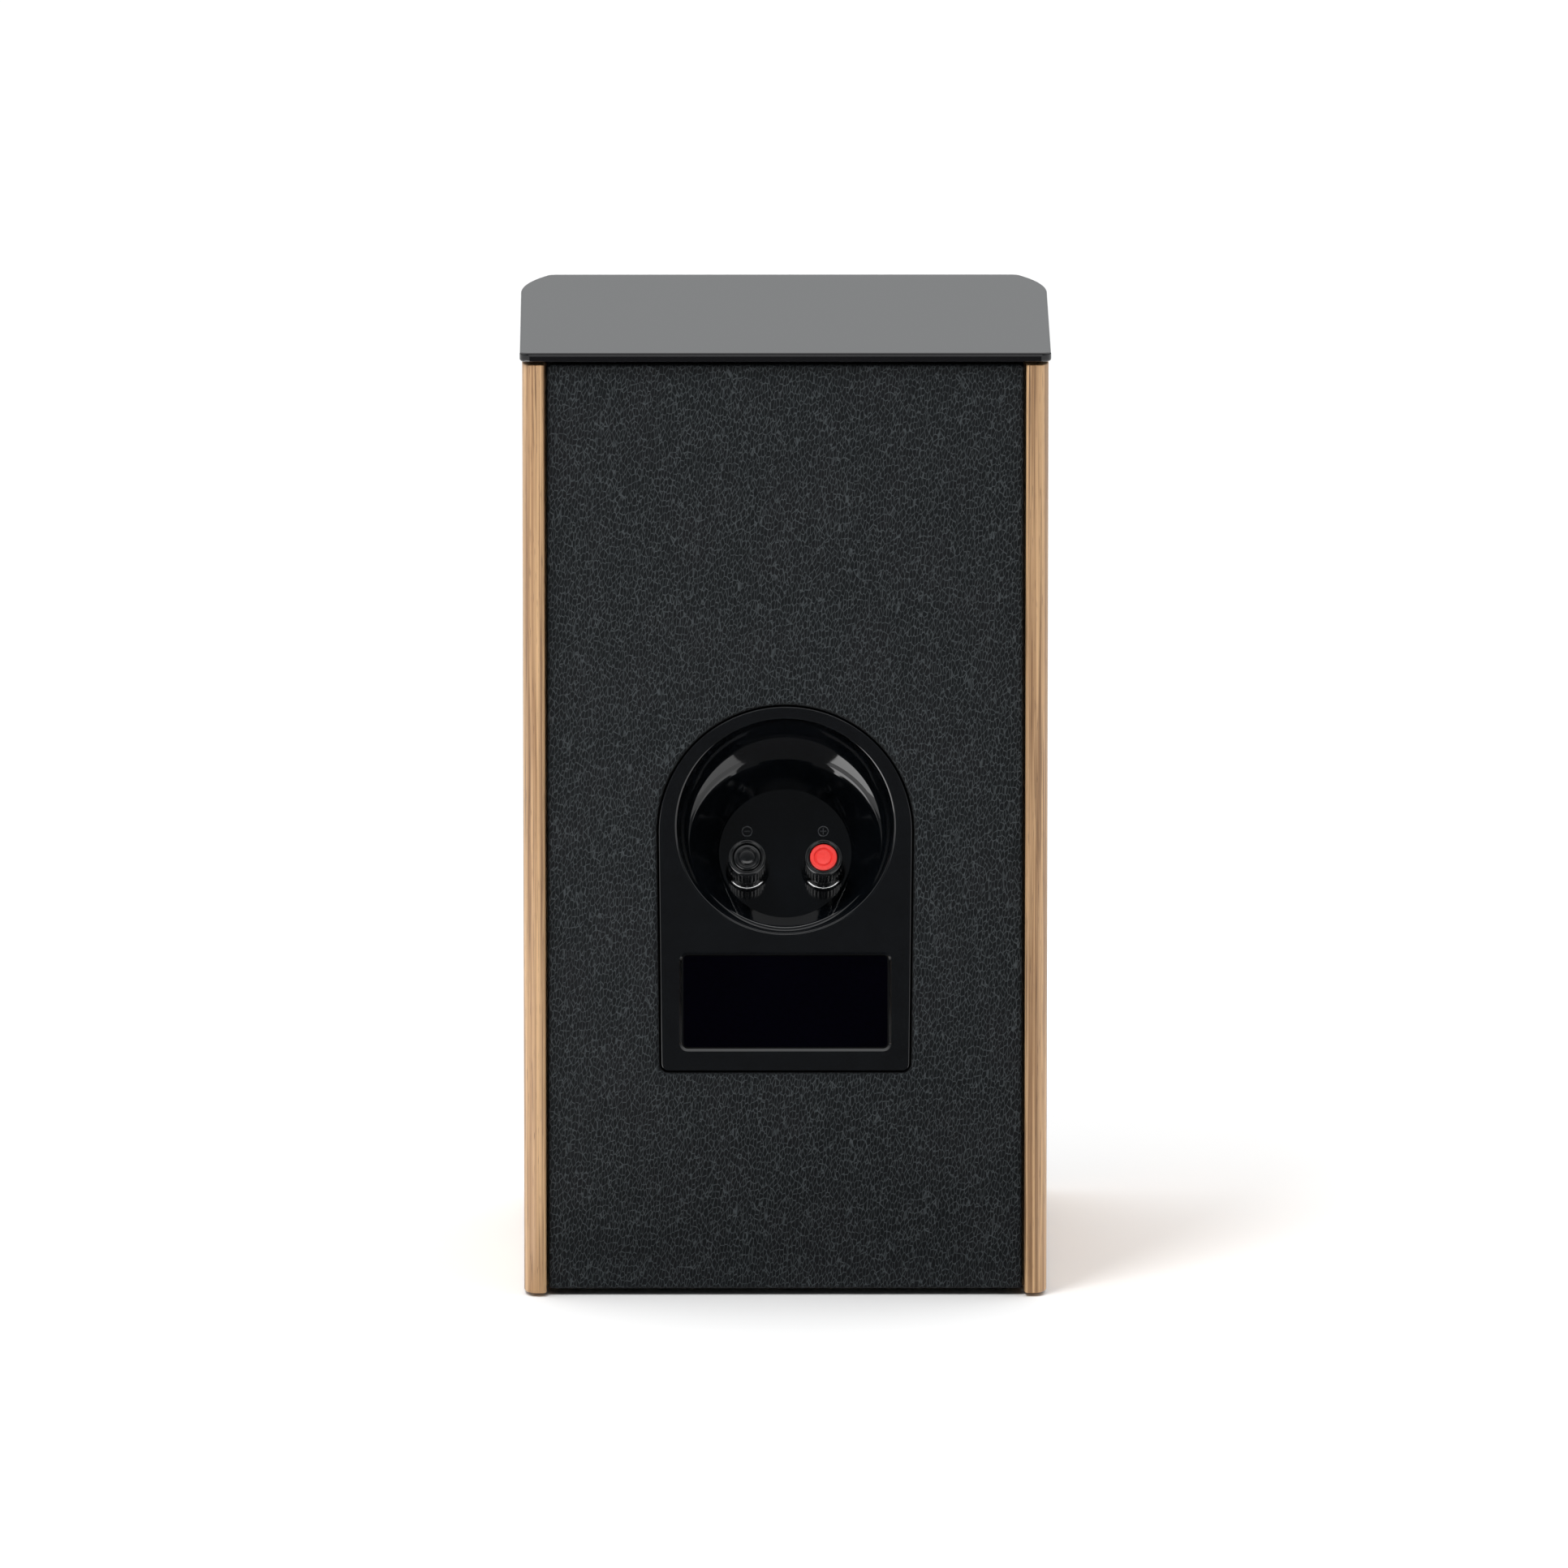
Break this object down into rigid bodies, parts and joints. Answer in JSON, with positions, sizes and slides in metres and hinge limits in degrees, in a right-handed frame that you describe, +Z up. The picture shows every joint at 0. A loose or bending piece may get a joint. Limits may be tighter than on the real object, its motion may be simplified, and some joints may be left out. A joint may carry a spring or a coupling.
{
  "type": "bookshelf speaker",
  "caption": "Two-way bookshelf loudspeaker: veneered cheeks, dark glass top, leatherette front and rear, round terminal bowl with screw binding posts, ported front.",
  "frame": {"origin": "On the floor, below the middle of the speaker's bounding box.", "axes": "+Z is up, -Y is the front where the drivers are, +Y is the rear where the terminals are, and +X is to the right as seen from the front."},
  "size_m": [0.225, 0.25, 0.4],
  "materials": {
    "veneer": "satin",
    "leatherette": "satin",
    "tinted_glass": "polished",
    "fibreboard": "matte",
    "black_rubber": "matte",
    "satin_black": "satin",
    "gloss_black": "gloss",
    "red_plastic": "gloss",
    "chrome": "polished",
    "brass": "gloss",
    "dark_metal": "satin",
    "cone_fibre": "satin",
    "former_paper": "matte",
    "copper": "gloss",
    "spider_cloth": "matte",
    "steel": "satin",
    "ferrite": "matte",
    "dome_fabric": "satin",
    "circuit_board": "satin",
    "capacitor_sleeve": "gloss",
    "wire_sleeve": "satin"
  },
  "bodies": {
    "cabinet": {"bottom_panel": "fibreboard", "crossover_board": "circuit_board", "foot_pad_front_left": "black_rubber", "foot_pad_front_right": "black_rubber", "foot_pad_rear_left": "black_rubber", "foot_pad_rear_right": "black_rubber", "front_baffle": "leatherette", "glass_bonding_tape": "black_rubber", "glass_top": "tinted_glass", "negative_input_lead": "wire_sleeve", "negative_post_collar": "satin_black", "negative_post_nut": "brass", "negative_post_ring": "chrome", "negative_post_stud": "brass", "negative_solder_tag": "brass", "port_tube": "satin_black", "positive_input_lead": "wire_sleeve", "positive_post_collar": "satin_black", "positive_post_nut": "brass", "positive_post_ring": "chrome", "positive_post_stud": "brass", "positive_solder_tag": "brass", "rating_label": "gloss_black", "rear_panel": "leatherette", "side_panel_left": "veneer", "side_panel_right": "veneer", "terminal_gasket": "black_rubber", "terminal_plate": "satin_black", "top_panel": "fibreboard", "tweeter_capacitor": "capacitor_sleeve", "tweeter_faceplate": "satin_black", "tweeter_front_plate": "steel", "tweeter_inductor": "copper", "tweeter_lead": "wire_sleeve", "tweeter_magnet": "ferrite", "tweeter_yoke": "steel", "woofer_basket": "dark_metal", "woofer_front_plate": "steel", "woofer_inductor": "copper", "woofer_lead": "wire_sleeve", "woofer_magnet": "ferrite", "woofer_screw_1": "dark_metal", "woofer_screw_2": "dark_metal", "woofer_screw_3": "dark_metal", "woofer_screw_4": "dark_metal", "woofer_spider": "spider_cloth", "woofer_surround": "black_rubber", "woofer_yoke": "steel"},
    "woofer_moving": {"woofer_cone": "cone_fibre", "woofer_dust_cap": "cone_fibre", "woofer_former": "former_paper", "woofer_winding": "copper"},
    "tweeter_moving": {"tweeter_dome": "dome_fabric", "tweeter_voice_coil": "copper"},
    "negative_clamp": {"negative_post_clamp_washer": "brass"},
    "negative_knob": {"negative_post_knob": "satin_black"},
    "negative_cap": {"negative_post_plug_cap": "satin_black"},
    "positive_clamp": {"positive_post_clamp_washer": "brass"},
    "positive_knob": {"positive_post_knob": "satin_black"},
    "positive_cap": {"positive_post_plug_cap": "red_plastic"}
  },
  "joints": [
    {"name": "woofer_cone_travel", "type": "slide", "parent": "cabinet", "child": "woofer_moving", "axis": [0, -1, 0], "range_m": [-0.004, 0.004], "stiffness_N_per_m": 1000, "deforming": ["woofer_surround", "woofer_spider"]},
    {"name": "tweeter_dome_travel", "type": "slide", "parent": "cabinet", "child": "tweeter_moving", "axis": [0, -1, 0], "range_m": [-0.00025, 0.00025], "stiffness_N_per_m": 1500},
    {"name": "negative_clamp_travel", "type": "slide", "parent": "cabinet", "child": "negative_clamp", "axis": [0, 0.9135, 0.4067], "range_m": [0, 0.004]},
    {"name": "negative_knob_turn", "type": "hinge", "parent": "negative_clamp", "child": "negative_knob", "pos_m": [0.016, 0.09651, 0.1774], "axis": [0, 0.9135, 0.4067], "range_deg": [0, 1440]},
    {"name": "negative_cap_pull", "type": "slide", "parent": "negative_knob", "child": "negative_cap", "axis": [0, 0.9135, 0.4067], "range_m": [0, 0.018]},
    {"name": "positive_clamp_travel", "type": "slide", "parent": "cabinet", "child": "positive_clamp", "axis": [0, 0.9135, 0.4067], "range_m": [0, 0.004]},
    {"name": "positive_knob_turn", "type": "hinge", "parent": "positive_clamp", "child": "positive_knob", "pos_m": [-0.016, 0.09651, 0.1774], "axis": [0, 0.9135, 0.4067], "range_deg": [0, 1440]},
    {"name": "positive_cap_pull", "type": "slide", "parent": "positive_knob", "child": "positive_cap", "axis": [0, 0.9135, 0.4067], "range_m": [0, 0.018]}
  ],
  "couplings": [
    {"joint": "negative_knob_turn", "follows": "negative_clamp_travel", "rad_per_m": 6283.2},
    {"joint": "positive_knob_turn", "follows": "positive_clamp_travel", "rad_per_m": 6283.2}
  ]
}
